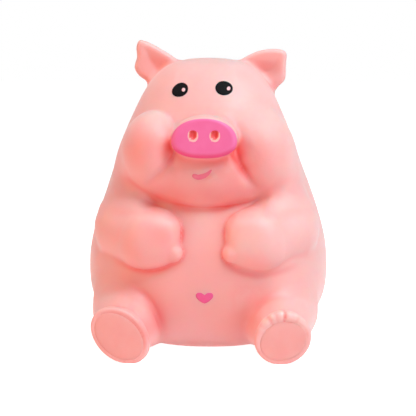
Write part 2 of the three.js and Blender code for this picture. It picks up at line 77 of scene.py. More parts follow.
def namedLump(points, shape, name):
    return lump(points, shape[name + "Middle"], shape[name + "Size"], shape.get(name + "Power", 2.0))


def taper(points, start, end, startRadius, endRadius):
    start, end = np.array(start), np.array(end)
    along = end - start
    share = np.clip((points - start) @ along / (along @ along), 0, 1)
    away = np.linalg.norm(points - start - share[:, None] * along, axis=1)
    return away - mixed(startRadius, endRadius, share)


def blend(first, second, width):
    overlap = np.maximum(width - np.abs(first - second), 0) / width
    return np.minimum(first, second) - overlap * overlap * width / 4


def carve(form, tool, width):
    return -blend(-form, tool, width)


def ramp(value, low, high):
    share = np.clip((value - low) / (high - low), 0, 1)
    return share * share * (3 - 2 * share)


def smoothCurve(points, steps=10, closed=False):
    points = np.array(points, float)
    count = len(points)
    spans = count if closed else count - 1
    made = []
    for span in range(spans):
        if closed:
            before, start, end, after = (points[(span + k) % count] for k in (-1, 0, 1, 2))
        else:
            before, start = points[max(span - 1, 0)], points[span]
            end, after = points[span + 1], points[min(span + 2, count - 1)]
        for step in range(steps):
            t = step / steps
            made.append(
                0.5 * (2 * start + (end - before) * t + (2 * before - 5 * start + 4 * end - after) * t ** 2
                       + (3 * start - before - 3 * end + after) * t ** 3)
            )
    if not closed:
        made.append(points[-1])
    return np.array(made)


def farFromLine(points, line):
    far = np.full(len(points), 1e9)
    share = np.zeros(len(points))
    for index, (start, end) in enumerate(zip(line[:-1], line[1:])):
        along = end - start
        t = np.clip((points - start) @ along / max(along @ along, 1e-12), 0, 1)
        away = np.linalg.norm(points - start - t[:, None] * along, axis=1)
        nearer = away < far
        far = np.where(nearer, away, far)
        share = np.where(nearer, (index + t) / (len(line) - 1), share)
    return far, share


def outsideOutline(points, outline):
    loop = np.vstack([outline, outline[:1]])
    far, share = farFromLine(points, loop)
    inside = np.zeros(len(points), bool)
    for (x1, z1), (x2, z2) in zip(loop[:-1], loop[1:]):
        if z1 == z2:
            continue
        crosses = (points[:, 1] > z1) != (points[:, 1] > z2)
        inside ^= crosses & (points[:, 0] < x1 + (points[:, 1] - z1) * (x2 - x1) / (z2 - z1))
    return np.where(inside, -far, far)


def onlyNear(points, low, high, form, margin=4):
    beyond = np.maximum(np.maximum(np.array(low) - points, points - np.array(high)), 0)
    away = np.linalg.norm(beyond, axis=1)
    close = away < margin
    value = np.maximum(away, margin)
    if close.any():
        value[close] = form(points[close])
    return value


# Torso and head
torsoShape = {
    "bellySize": (76.6, 70, 53),
    "bellyMiddle": (0.4, 0, 26),
    "bellyPower": 2.5,
    "chestSize": (69, 61, 58),
    "chestMiddle": (0.4, 1.0, 41.8),
    "chestBlend": 6,
}
headShape = {
    "craniumSize": (44.8, 46, 52),
    "craniumMiddle": (0.5, -1, 66.3),
    "craniumPower": 2.7,
    "jawSize": (54.2, 43, 36.6),
    "jawMiddle": (0.3, -10.5, 58.9),
    "jawPower": 2.1,
    "jawBlend": 13.5,
    "muzzleSize": (38, 28, 27),
    "muzzleMiddle": (0.6, -21.5, 57.6),
    "muzzleBlend": 4,
    "chinBlend": 0.8,
    "jowlBlend": 12,
    "neckBlend": 8,
}
# Each cheek meets the face crisply where it turns to the angle "toward", in degrees seen from the front
cheekShapes = {
    "right": {
        "middle": (-15.5, -22.4, 63.4), "size": (20.6, 26.6, 25.8), "crisp": 0.6, "soft": 4, "toward": 50,
    },
    "left": {
        "middle": (17.8, -21.2, 62.6), "size": (20.6, 25.2, 26), "crisp": 2.0, "soft": 5, "toward": 215,
    },
}


def torsoField(points):
    belly, chest = (namedLump(points, torsoShape, name) for name in ("belly", "chest"))
    return blend(belly, chest, torsoShape["chestBlend"])


def headField(points):
    cranium, jaw, muzzle = (namedLump(points, headShape, name) for name in ("cranium", "jaw", "muzzle"))
    form = blend(blend(cranium, jaw, headShape["jawBlend"]), muzzle, headShape["muzzleBlend"])
    for shape in cheekShapes.values():
        away = points - np.array(shape["middle"])
        toward = math.radians(shape["toward"])
        facing = away[:, 0] * math.cos(toward) + away[:, 2] * math.sin(toward)
        facing = facing / np.maximum(np.hypot(away[:, 0], away[:, 2]), 1e-6)
        width = mixed(shape["soft"], shape["crisp"], ramp(facing, -0.2, 0.5))
        form = blend(form, lump(points, shape["middle"], shape["size"]), width)
    return form


# Snout: a barrel with a domed top, a flatter bottom, a rounded front edge and two nostrils
snoutLow, snoutHigh = nodeBox["snout"]
snoutShape = {
    "arch": 7.4,
    "archPower": 2.05,
    "sag": 5.4,
    "sagPower": 2.4,
    "drop": 0.8,
    "edge": 1.8,
    "root": 1.6,
    "roughDepth": 18,
    "nostrilSpread": 3.3,
    "nostrilLift": 1.9,
    "nostrilWidth": 1.6,
    "nostrilHeight": 2.5,
    "nostrilDepth": 1.7,
    "nostrilPower": 2.2,
    "nostrilEase": 0.5,
    "nostrilRim": 0.8,
    "rimStand": 0.2,
    "rimDrop": 0.4,
    "rimSoft": 0.5,
}
snoutMiddle = np.array([
    (snoutLow[0] + snoutHigh[0]) / 2,
    snoutLow[1],
    snoutHigh[2] - snoutShape["arch"] - snoutShape["drop"],
])


def acrossSnout(points):
    half = (snoutHigh[0] - snoutLow[0]) / 2
    rise = points[:, 2] - snoutMiddle[2]
    tall = np.where(rise > 0, snoutShape["arch"], snoutShape["sag"])
    power = np.where(rise > 0, snoutShape["archPower"], snoutShape["sagPower"])
    x = np.abs(points[:, 0] - snoutMiddle[0]) / half + 1e-9
    z = np.abs(rise) / tall + 1e-9
    scale = (x ** power + z ** power) ** (1 / power)
    slope = np.hypot((x / scale) ** (power - 1) / half, (z / scale) ** (power - 1) / tall)
    return (scale - 1) / slope


def rounded(first, second, radius):
    outer = np.hypot(np.maximum(first + radius, 0), np.maximum(second + radius, 0)) - radius
    return outer + np.minimum(np.maximum(first, second) + radius, 0)


def barrelField(points):
    return rounded(acrossSnout(points), snoutMiddle[1] - points[:, 1], snoutShape["edge"])


def nostrilPlace(side, drop=0.0):
    return snoutMiddle + (side * snoutShape["nostrilSpread"], 0, snoutShape["nostrilLift"] - drop)


def nostrilField(points, side, grow=0.0, drop=0.0):
    size = (
        snoutShape["nostrilWidth"] + 2 * grow,
        2 * snoutShape["nostrilDepth"],
        snoutShape["nostrilHeight"] + 2 * grow,
    )
    return lump(points, nostrilPlace(side, drop), size, snoutShape["nostrilPower"])


# The raised rim of a nostril: 1 along its crest, falling off to both sides
def nostrilRing(points, side):
    ring = nostrilField(points, side, snoutShape["nostrilRim"] * 0.5, snoutShape["rimDrop"])
    return np.exp(-(ring / snoutShape["rimSoft"]) ** 2)


def snoutField(points):
    def form(near):
        body = barrelField(near)
        for side in (-1, 1):
            body = body - snoutShape["rimStand"] * nostrilRing(near, side)
            body = carve(body, nostrilField(near, side), snoutShape["nostrilEase"])
        return body

    return onlyNear(points, snoutLow - 1, snoutHigh + 1, form)


# Ears: cupped flaps that face forward, each with a rolled rim round a hollow
earShapes = {
    "ear_right": {
        "outline": [(-8.5, 88), (-10, 91.8), (-15, 95.2), (-19.4, 97.5), (-22.0, 98.0), (-23, 95.6),
                    (-22.8, 92.6), (-23.6, 89.4), (-22.4, 86.8), (-19.4, 84.4), (-17, 81), (-11, 79)],
        "hollow": [(-9, 86), (-11.2, 90.8), (-14.4, 93.1), (-17.8, 95.1), (-20.8, 96), (-21.3, 93.6),
                   (-21.6, 91), (-20.8, 88), (-18.6, 85), (-13, 80)],
        "depth": 1.5,
        "steep": 5.4,
        "earHollowShade": (-15.5, 90.5),
    },
    "ear_left": {
        "outline": [(9, 88), (10.6, 91.4), (14.5, 93.8), (18.6, 95), (23.2, 95.1), (25.4, 93.8),
                    (25.3, 90), (25, 85.6), (22.9, 83.1), (20.2, 80.6), (13, 78)],
        "hollow": [(10, 86), (13.4, 90.8), (16.4, 92.2), (20.4, 92), (23.2, 92.8), (23.8, 90.2),
                   (23.4, 87), (21.6, 84.6), (18.6, 82), (13, 79)],
        "depth": 1.7,
        "steep": 5.2,
        "earHollowShade": (17.5, 90),
    },
}
earFlesh = {"front": 1.8, "back": 1.7, "edge": 1.5, "rootBlend": 2.0, "rough": 1.6}
earRims = {name: smoothCurve(shape["outline"], 5, True) for name, shape in earShapes.items()}
earHollows = {name: smoothCurve(shape["hollow"], 5, True) for name, shape in earShapes.items()}


def earField(points, name):
    shape = earShapes[name]
    low, high = nodeBox[name]

    def form(near):
        flat = near[:, [0, 2]]
        outline = outsideOutline(flat, earRims[name])
        hollow = -outsideOutline(flat, earHollows[name])
        forward = middleOf(name)[1] - near[:, 1]
        front = forward - earFlesh["front"] + shape["depth"] * ramp(hollow, 0, shape["steep"])
        back = -forward - earFlesh["back"] * (0.55 + 0.45 * ramp(-outline, 0, 5))
        return rounded(outline, np.maximum(front, back), earFlesh["edge"])

    return onlyNear(points, low - 2, high + 3, form)


# Arms folded on the belly: an upper arm, a blunt hand and a thumb
armShape = {
    "shoulder": (23.6, -19.0, 39.3),
    "shoulderRadius": 11.8,
    "shift": 0.6,
    "wrist": (17.5, -26.5, 36.6),
    "wristRadius": 10.2,
    "handMiddle": (14.6, -29.1, 36.6),
    "handSize": (15.8, 16.8, 16),
    "handPower": 3.1,
    "handBlend": 5,
    "thumb": (8.9, -34.2, 33.0),
    "thumbRadius": 2.9,
    "thumbBlend": 0.8,
    "lowerBlend": 0.5,
    "upperBlend": 6.5,
    "outerBlend": 1.5,
}


def armField(points, side):
    shoulder = mirrored(armShape["shoulder"], side) + (armShape["shift"], 0, 0)
    wrist = mirrored(armShape["wrist"], side)
    form = taper(points, shoulder, wrist, armShape["shoulderRadius"], armShape["wristRadius"])
    hand = mirrored(armShape["handMiddle"], side)
    hand = lump(points, hand, armShape["handSize"], armShape["handPower"])
    form = blend(form, hand, armShape["handBlend"])
    thumb = np.linalg.norm(points - mirrored(armShape["thumb"], side), axis=1)
    return blend(form, thumb - armShape["thumbRadius"], armShape["thumbBlend"])


# Legs: a thigh that narrows to the ankle, and a foot that flares to a flat oval end with a seat for its sole
legShape = {
    "hip": (22.6, -19.5, 12.8),
    "hipRadius": 13.2,
    "footDepth": -42,
    "flare": 3.0,
    "splay": 7,
    "edge": 0.7,
    "recess": 0.3,
    "seatWall": (0.1, 0.45),
    "bodyBlend": 1.6,
    "topBlend": 5,
    "flareBlend": 1.2,
}
# The pig's right foot is -1 and its left foot is 1
footShapes = {
    -1: {"middle": (25, 8.5), "half": (10.1, 7.5), "tilt": 40, "ankle": 7.1,
         "soleMiddle": (25.3, 8.2), "soleHalf": (8.7, 6.1)},
    1: {"middle": (24.8, 8.0), "half": (8.8, 8.0), "tilt": 20, "ankle": 7.1,
        "soleMiddle": (24.9, 7.1), "soleHalf": (7.4, 6.0)},
}
# The collar of the pig's left foot, where the skin is gathered over the sole; pleats are shares of its arc
collarShape = {
    "from": 8,
    "to": 172,
    "half": (6.9, 6.5),
    "middle": (24.9, 8.3),
    "behind": 1.2,
    "radius": (0.9, 1.75),
    "blend": 0.6,
    "pleats": [(0.28, 0.35), (0.48, 1.1), (0.61, 0.45), (0.72, 0.8), (0.87, 0.5)],
    "pleatWidth": 0.022,
}


def footward(side):
    angle = math.radians(legShape["splay"])
    return np.array([side * math.sin(angle), -math.cos(angle), 0])


def sideward(side):
    out = footward(side)
    return np.array([-side * out[1], side * out[0], 0])


def footPlace(side):
    across, height = footShapes[side]["middle"]
    return np.array([side * across, legShape["footDepth"], height])


# The long and the short direction of a foot's oval, and the way out of its end
def footAxes(side):
    tilt = math.radians(footShapes[side]["tilt"])
    outward, up = sideward(side), np.array([0, 0, 1])
    long = outward * math.cos(tilt) + up * math.sin(tilt)
    short = up * math.cos(tilt) - outward * math.sin(tilt)
    return Vector(long), Vector(short), Vector(footward(side))


# Places in a foot's own plane: how far beyond its end, how far to the pig's outside, and how high
def alongFoot(points, side):
    offset = points - footPlace(side)
    return offset @ footward(side), offset @ sideward(side), points[:, 2]


def outsideOval(outward, height, side, middle, half):
    across = outward + footShapes[side]["middle"][0] - middle[0]
    rise = height - middle[1]
    tilt = math.radians(footShapes[side]["tilt"])
    a = (across * math.cos(tilt) + rise * math.sin(tilt)) / half[0]
    b = (rise * math.cos(tilt) - across * math.sin(tilt)) / half[1]
    scale = np.hypot(a, b)
    return scale * (scale - 1) / np.maximum(np.hypot(a / half[0], b / half[1]), 1e-9)


def soleGap(points, side):
    beyond, outward, height = alongFoot(points, side)
    shape = footShapes[side]
    return beyond, outsideOval(outward, height, side, shape["soleMiddle"], shape["soleHalf"])


def collarLine():
    low, high = math.radians(collarShape["from"]), math.radians(collarShape["to"])
    angle = np.linspace(low, high, 40)
    across = collarShape["middle"][0] - footShapes[1]["middle"][0] + collarShape["half"][0] * np.cos(angle)
    line = footPlace(1) + across[:, None] * sideward(1) - collarShape["behind"] * footward(1)
    line[:, 2] = collarShape["middle"][1] + collarShape["half"][1] * np.sin(angle)
    return line


def collarField(points):
    line = collarLine()
    thin, thick = collarShape["radius"]

    def form(near):
        far, share = farFromLine(near, line)
        radius = mixed(thin, thick, np.sin(math.pi * share) ** 0.8)
        for place, depth in collarShape["pleats"]:
            radius = radius - depth * np.exp(-((share - place) / collarShape["pleatWidth"]) ** 2)
        return far - radius

    return onlyNear(points, line.min(0) - 3, line.max(0) + 3, form)


def legField(points, side):
    shape = footShapes[side]
    hip = mirrored(legShape["hip"], side)
    end = footPlace(side) - legShape["flare"] * footward(side)
    thigh = taper(points, hip, end, legShape["hipRadius"], shape["ankle"])
    beyond, outward, height = alongFoot(points, side)
    foot = rounded(
        outsideOval(outward, height, side, shape["middle"], shape["half"]),
        np.maximum(beyond, -beyond - legShape["flare"]),
        legShape["edge"],
    )
    form = np.maximum(blend(thigh, foot, legShape["flareBlend"]), beyond)
    return blend(form, collarField(points), collarShape["blend"]) if side > 0 else form


# Tail: one small curl that grows out of the back
tailShape = {"curl": 3.8, "radius": 2.0, "tipRadius": 1.2, "sweep": 285, "blend": 1.6, "steps": 18}


def tailLine():
    low, high = nodeBox["tail"]
    height = middleOf("tail")[2]
    start = low[1] - 1
    places = []
    for step in range(tailShape["steps"] + 1):
        share = step / tailShape["steps"]
        angle = math.radians(-90 + tailShape["sweep"] * share)
        out = mixed(start, high[1] - tailShape["radius"], math.sqrt(share))
        across, rise = tailShape["curl"] * math.cos(angle), tailShape["curl"] * math.sin(angle)
        places.append((across, out, height + rise))
    return np.array(places)


def tailField(points):
    low, high = nodeBox["tail"]
    line = tailLine()

    def form(near):
        far, share = farFromLine(near, line)
        return far - mixed(tailShape["radius"], tailShape["tipRadius"], share)

    return onlyNear(points, low - 1, high + 1, form)


# Creases and ridges that are pressed into the skin, each along a line seen from the front; a tint paints
# shade along the line
creases = {
    "jowlRight": {
        "line": [(-8.6, 64.6), (-10.6, 60.6), (-14.4, 56.4), (-18.2, 53.2)],
        "width": 1.2, "depth": 0.8,
    },
    "jowlLeft": {
        "line": [(9.8, 69), (9.8, 65), (11, 60.6), (14.2, 56), (18.2, 52.2)],
        "width": 1.4, "depth": 1.1,
    },
    "chin": {
        "line": [(-25.6, 61), (-23.1, 55.5), (-19.9, 52.8), (-13.5, 49.6), (-7.2, 47.7), (2.1, 46.6),
                 (11.3, 47.7), (17.4, 49.2), (22.1, 51.2), (26, 54)],
        "width": 0.9, "depth": 0.3, "tint": 0.22,
    },
    "armLowRight": {
        "line": [(-29, 30.8), (-22.9, 28.3), (-16.4, 27.6), (-11.6, 28.7), (-7.2, 31.6)],
        "width": 1.1, "depth": 0.25, "tint": 0.4,
    },
    "armLowLeft": {
        "line": [(6.4, 31), (10, 28.1), (16.7, 26.1), (23.7, 26.8), (31, 29.6)],
        "width": 1.1, "depth": 0.25, "tint": 0.4,
    },
    "armpitRight": {"line": [(-23, 50), (-19, 48.2), (-12.6, 44.8)], "width": 1.4, "depth": 0.35},
    "legRight": {
        "line": [(-24, 24.2), (-17.6, 19.4), (-14.5, 13.3), (-13.4, 5)],
        "width": 1.4, "depth": 0.5, "tint": 0.1,
    },
    "legLeft": {
        "line": [(25, 22), (18.3, 17.2), (16.1, 12.7), (14.5, 5)],
        "width": 1.3, "depth": 0.4, "tint": 0.05,
    },
    "palmRight": {"line": [(-7.0, 41), (-6.9, 38), (-7.5, 35.4)], "width": 0.9, "depth": 0.25},
    "palmLeft": {"line": [(6.9, 41), (6.8, 38), (7.4, 35.2)], "width": 0.9, "depth": 0.25},
    "mouth": {"line": [(-2.4, 57.6), (-0.6, 56.6), (1.5, 57.4), (3.2, 58.8)], "width": 0.9, "depth": 0.4},
    "mouthRidge": {"line": [(0.4, 55.2), (2.6, 56), (4.4, 58.2)], "width": 0.6, "depth": -0.35},
}
for crease in creases.values():
    crease["path"] = smoothCurve(crease["line"], 5)


def pressed(points):
    amount = np.zeros(len(points))
    flat = points[:, [0, 2]]
    for crease in creases.values():
        reach = 2.6 * crease["width"]
        inside = (flat > crease["path"].min(0) - reach) & (flat < crease["path"].max(0) + reach)
        near = inside.all(1) & (points[:, 1] < -15)
        if near.any():
            far, share = farFromLine(flat[near], crease["path"])
            fade = ramp(share, 0, 0.35) * ramp(-share, -1, -0.65)
            amount[near] += crease["depth"] * fade * np.exp(-(far / crease["width"]) ** 2)
    return amount


def bodyField(points):
    across, height = np.abs(points[:, 0]), points[:, 2]
    chin = mixed(headShape["chinBlend"], headShape["jowlBlend"], ramp(across, 14, 27))
    neck = mixed(chin, headShape["neckBlend"], ramp(points[:, 1], -20, -6))
    form = blend(torsoField(points), headField(points), neck)
    form = blend(form, snoutField(points), snoutShape["root"])
    for name in earShapes:
        form = blend(form, earField(points, name), earFlesh["rootBlend"])
    armBlend = mixed(armShape["lowerBlend"], armShape["outerBlend"], ramp(across, 27, 35))
    above = ramp(height, 39, 47) * ramp(across, 13, 21)
    armBlend = np.maximum(armBlend, armShape["upperBlend"] * above)
    legBlend = mixed(legShape["bodyBlend"], legShape["topBlend"], ramp(height, 8, 24))
    for side in (-1, 1):
        form = blend(form, armField(points, side), armBlend)
        form = blend(form, legField(points, side), legBlend)
    return blend(form, tailField(points), tailShape["blend"])


def skinField(points):
    form = bodyField(points) + pressed(points)
    for side in (-1, 1):
        beyond, gap = soleGap(points, side)
        near, far = legShape["seatWall"]
        form = form + legShape["recess"] * ramp(-gap, -far, -near) * ramp(beyond, -2, -1)
    return carve(form, points[:, 2], 0.4)


# Mesh work: rough balls are fused by voxels, and the points then settle on the field
def steepest(field, points, value, step=0.02):
    slope = np.empty_like(points)
    for axis in range(3):
        shift = np.zeros(3)
        shift[axis] = step
        slope[:, axis] = (field(points + shift) - value) / step
    return slope


def outwardOf(field, points):
    slope = steepest(field, points, field(points))
    return slope / np.maximum(np.linalg.norm(slope, axis=1), 1e-9)[:, None]


def settle(field, points, rounds, most=1.5):
    for _ in range(rounds):
        value = field(points)
        slope = steepest(field, points, value)
        length = np.maximum((slope ** 2).sum(1), 0.05)
        move = -(value / length)[:, None] * slope
        size = np.linalg.norm(move, axis=1)
        points = points + move * np.minimum(1, most / np.maximum(size, 1e-9))[:, None]
    return points


def relax(points, edges, rounds, amount=0.5):
    count = np.bincount(edges.ravel(), minlength=len(points))[:, None]
    for _ in range(rounds):
        total = np.empty_like(points)
        for axis in range(3):
            ends = points[:, axis]
            total[:, axis] = np.bincount(edges[:, 0], ends[edges[:, 1]], len(points))
            total[:, axis] += np.bincount(edges[:, 1], ends[edges[:, 0]], len(points))
        points = points + amount * (total / count - points)
    return points


def newPiece(name, mesh):
    data = bpy.data.meshes.new(name)
    mesh.to_mesh(data)
    mesh.free()
    piece = bpy.data.objects.new(name, data)
    bpy.context.scene.collection.objects.link(piece)
    return piece


def applyModifiers(piece):
    evaluated = piece.evaluated_get(bpy.context.evaluated_depsgraph_get())
    made = bpy.data.meshes.new_from_object(evaluated)
    piece.modifiers.clear()
    piece.data = made


def voxelRemesh(piece, size):
    remesh = piece.modifiers.new("remesh", "REMESH")
    remesh.mode = "VOXEL"
    remesh.voxel_size = size * mm
    applyModifiers(piece)


def pointsOf(piece):
    flat = np.empty(len(piece.data.vertices) * 3)
    piece.data.vertices.foreach_get("co", flat)
    return flat.reshape(-1, 3) / mm


def placePoints(piece, points):
    piece.data.vertices.foreach_set("co", (points * mm).ravel())
    piece.data.update()


def edgesOf(piece):
    flat = np.empty(len(piece.data.edges) * 2, int)
    piece.data.edges.foreach_get("vertices", flat)
    return flat.reshape(-1, 2)


def smoothShade(piece):
    piece.data.polygons.foreach_set("use_smooth", [True] * len(piece.data.polygons))


def keepLayer(piece, name, values):
    layer = piece.data.attributes.new(name, "FLOAT", "POINT")
    layer.data.foreach_set("value", values.astype(np.float32))


def ball(mesh, centre, size):
    place = Matrix.Translation(Vector(centre) * mm) @ Matrix.Diagonal((*(s / 2 * mm for s in size), 1))
    bmesh.ops.create_icosphere(mesh, subdivisions=4, radius=1, matrix=place)


def balls(mesh, start, end, startRadius, endRadius, count):
    for share in np.linspace(0, 1, count):
        ball(mesh, mixed(start, end, share), (2 * mixed(startRadius, endRadius, share),) * 3)


def slab(mesh, outline, front, back):
    made = bmesh.ops.create_circle(mesh, cap_ends=True, segments=len(outline), radius=1)
    for vertex, (x, z) in zip(made["verts"], outline):
        vertex.co = Vector((x, front, z)) * mm
    face = made["verts"][0].link_faces[0]
    pulled = bmesh.ops.extrude_face_region(mesh, geom=[face], use_keep_orig=True)
    moved = [part for part in pulled["geom"] if isinstance(part, bmesh.types.BMVert)]
    bmesh.ops.translate(mesh, verts=moved, vec=(0, (back - front) * mm, 0))


def roughBody():
    mesh = bmesh.new()
    for shape, names in ((torsoShape, ("belly", "chest")), (headShape, ("cranium", "jaw", "muzzle"))):
        for name in names:
            ball(mesh, shape[name + "Middle"], shape[name + "Size"])
    for shape in cheekShapes.values():
        ball(mesh, shape["middle"], shape["size"])
    wide, _, tall = snoutHigh - snoutLow
    deep = snoutShape["roughDepth"]
    ball(mesh, snoutMiddle + (0, deep / 2, 1), (wide, deep, tall))
    for name, rim in earRims.items():
        middle = middleOf(name)[1]
        slab(mesh, rim, middle - earFlesh["rough"], middle + earFlesh["rough"])
    for side in (-1, 1):
        shoulder, wrist = mirrored(armShape["shoulder"], side), mirrored(armShape["wrist"], side)
        balls(mesh, shoulder, wrist, armShape["shoulderRadius"], armShape["wristRadius"], 3)
        ball(mesh, mirrored(armShape["handMiddle"], side), armShape["handSize"])
        ball(mesh, mirrored(armShape["thumb"], side), (2 * armShape["thumbRadius"],) * 3)
        end = footPlace(side) - legShape["flare"] * footward(side)
        balls(mesh, mirrored(legShape["hip"], side), end, legShape["hipRadius"], footShapes[side]["ankle"], 5)
        long, short, out = footAxes(side)
        halfLong, halfShort = footShapes[side]["half"]
        frameOfFoot = Matrix((long * halfLong * mm, short * halfShort * mm, out * legShape["flare"] * mm))
        middle = (Vector(footPlace(side)) - out * legShape["flare"] / 2) * mm
        place = Matrix.Translation(middle) @ frameOfFoot.transposed().to_4x4()
        bmesh.ops.create_cone(mesh, cap_ends=True, segments=64, radius1=1, radius2=1, depth=1, matrix=place)
    for line, radius in ((collarLine(), collarShape["radius"][1]), (tailLine(), tailShape["radius"])):
        for place in line:
            ball(mesh, place, (2 * radius,) * 3)
    return newPiece("moulded_skin", mesh)


skinMesh = {"firstVoxel": 1.2, "firstRounds": 4, "fineVoxel": 0.55, "fineRounds": 3}
skin = roughBody()
voxelRemesh(skin, skinMesh["firstVoxel"])
places = pointsOf(skin)
for _ in range(skinMesh["firstRounds"]):
    places = settle(skinField, relax(places, edgesOf(skin), 2), 2)
placePoints(skin, places)
print("skin, first pass:", len(places), "points")
voxelRemesh(skin, skinMesh["fineVoxel"])
places = pointsOf(skin)
edges = edgesOf(skin)
for _ in range(skinMesh["fineRounds"]):
    places = settle(skinField, relax(places, edges, 2), 2)
placePoints(skin, places)
smoothShade(skin)
print("skin, fine pass:", len(places), "points")


# Soft spots on the front that deepen the painted shade, or below 0 hold it back: x, z, width, amount
shadeSpots = [
    (-10.8, 62.8, 2.2, 0.3), (10.2, 63.0, 2.4, 0.8), (12.4, 59.4, 2.2, 0.4), (-11.5, 72.5, 5, -0.8),
    (13, 72.5, 6, -0.8), (-18, 67, 6.5, 0.27), (18.5, 61, 6, 0.16), (20.5, 67.5, 4.5, 0.12),
    (9, 56.5, 4.5, 0.18), (-5, 59, 5, -0.4), (-19.5, 11, 5, 0.22), (-24, 49.5, 5, -0.8),
    (24, 50.5, 5, -0.8), (12.5, 36.5, 4, -0.7), (-15.5, 9, 3.5, 0.25), (10.5, 38, 4, -0.9),
    (-10.5, 39, 4, 0.2), (-29, 26, 5, -0.7), (28, 22, 6, -0.6), (0, 26, 13, 0.14), (-2, 88, 7, 0.13),
    (-25, 15.5, 4.5, 0.14), (19.5, 13.5, 4.5, -0.4), (-15, 43, 4.5, 0.22), (15, 43.5, 3, 0.12),
    (2, 52, 7, 0.08), (-20, 49, 4, -0.8), (17, 48.5, 4, -0.8), (0, 3, 7, -0.9), (-9, 3, 6, -0.9),
    (9, 3, 6, -0.9), (-8, 51.5, 5, 0.22), (2, 50, 6, 0.26), (12, 51.5, 5, 0.2), (-12, 46, 3, -0.6),
    (0, 43.6, 4, -0.6), (12, 45.6, 3, -0.6),
]
# Soft spots on the front where painted light makes the skin paler, with the same four numbers each
lightSpots = [
    (12.2, 36.5, 4.8, 1.0), (-15.5, 75.5, 4, 0.5), (18, 75.5, 5, 0.5), (29, 40, 6, 0.4), (-24, 20.5, 4, 0.2),
    (-30, 21.5, 4, 0.25), (-9, 79, 6, 0.12), (14, 88, 8, 0.2), (0, 1.5, 4, 0.4), (-9, 1.5, 4, 0.4),
    (9, 1.5, 4, 0.4), (0, 43.8, 4, 0.5), (-12, 45.8, 4, 0.5), (-20, 48.5, 4, 0.5), (18, 48, 4, 0.4),
]
# How far outwards each painted shade layer looks for other skin that encloses a point
creaseReach = {"crease": 1.2, "shade": 4.0, "wideShade": 10.0}
markShape = {"earCover": 0.75, "seatPale": 0.6, "pleatShadeShare": 0.8, "earHollowShadeSpread": (8.5, 6.5)}


def spotAt(x, z, width):
    return np.exp(-((placeX - x) ** 2 + (placeZ - z) ** 2) / width ** 2)


normal = outwardOf(skinField, places)
flat = places[:, [0, 2]]
placeX, placeY, placeZ = places.T
seatEdge, rims, pitShadeMask, lineShade, pleatShade, inEar, earHollowShade, paintedLight = (np.zeros(len(places)) for _ in range(8))

# Where another piece covers the skin, light can't wander in below it, so the skin scatters less there
covered = ramp(-(placeY - snoutMiddle[1]), -6, -2) * ramp(-acrossSnout(places), -2.5, -0.5)
for side in (-1, 1):
    beyond, gap = soleGap(places, side)
    seatEdge = np.maximum(seatEdge, ramp(beyond, -2.2, -1) * ramp(-gap, -0.9, -0.5))
    covered = np.maximum(covered, ramp(beyond, -3.5, -1.5) * ramp(-gap, -2.4, -1))
facingFront = ramp(-normal[:, 1], 0.2, 0.8)
for name, shape in earShapes.items():
    outline = outsideOutline(flat, earRims[name])
    within = ramp(-outline, -1, 0.5)
    covered = np.maximum(covered, markShape["earCover"] * within * ramp(placeZ, 82, 86))
    inEar = np.maximum(inEar, within * ramp(placeZ, 83, 87) * (placeY < nodeBox[name][1][1] + 3))
    # The ear hollows get a deeper coral: painted shade in the hollow and a painted glow of light through the
    # thin ear
    spread = np.linalg.norm((flat - np.array(shape["earHollowShade"])) / markShape["earHollowShadeSpread"], axis=1)
    earHollowShade = np.maximum(earHollowShade, ramp(-outline, 0.2, 1.3) * facingFront * np.exp(-spread ** 2))
keepLayer(skin, "open", 1 - covered)

# Nostrils are measured on the front plane of the snout, so that their walls take the painted shade of the pit
onPlane = np.column_stack([placeX, np.full(len(places), snoutMiddle[1]), placeZ])
inFront = placeY < snoutMiddle[1] + 4
for side in (-1, 1):
    rims = np.maximum(rims, inFront * nostrilRing(onPlane, side))
    pitShadeMask = np.maximum(pitShadeMask, inFront * ramp(-nostrilField(onPlane, side), -0.45, -0.1))
# Painted shade along the tinted creases: under the chin, below the arms and beside the legs
for crease in creases.values():
    far, share = farFromLine(flat, crease["path"])
    line = crease.get("tint", 0) * np.exp(-(far / crease["width"]) ** 2)
    line = line * ramp(share, 0, 0.2) * ramp(-share, -1, -0.8)
    lineShade = np.maximum(lineShade, line * ramp(-placeY, 12, 20))
# Painted shade in the pleats of the collar
farCollar, shareCollar = farFromLine(places, collarLine())
for place, depth in collarShape["pleats"]:
    line = np.exp(-((shareCollar - place) / collarShape["pleatWidth"]) ** 2) * ramp(-farCollar, -2.8, -1.8)
    pleatShade = np.maximum(pleatShade, markShape["pleatShadeShare"] * depth * line)
lineShade = np.maximum(lineShade, pleatShade)

# How enclosed each point of the skin is, from 0 in the open to 1 deep in a crease; the skin gets painted
# shade by it
onFront = ramp(-placeY, 14, 20)
for name, reach in creaseReach.items():
    enclosed = np.clip(1 - skinField(places + reach * normal) / reach, 0, 1)
    enclosed = enclosed * (1 - markShape["seatPale"] * seatEdge)
    # Each spot deepens or holds back the painted shade
    for x, z, width, amount in shadeSpots:
        spot = amount * spotAt(x, z, width) * onFront
        enclosed = np.clip(enclosed * (1 + np.minimum(spot, 0)) + np.maximum(spot, 0), 0, 1)
    # Nostril pits get full painted shade, and their rims none
    enclosed = np.maximum(enclosed * (1 - rims), pitShadeMask)
    if name == "crease":
        enclosed = np.clip(enclosed + lineShade, 0, 1)
    keepLayer(skin, name, enclosed)
keepLayer(skin, "inEar", inEar)
keepLayer(skin, "earHollowShade", earHollowShade * inEar)
keepLayer(skin, "pitShade", pitShadeMask)

# Painted light at the pale spots
for x, z, width, amount in lightSpots:
    paintedLight += amount * spotAt(x, z, width) * (placeY < -12)
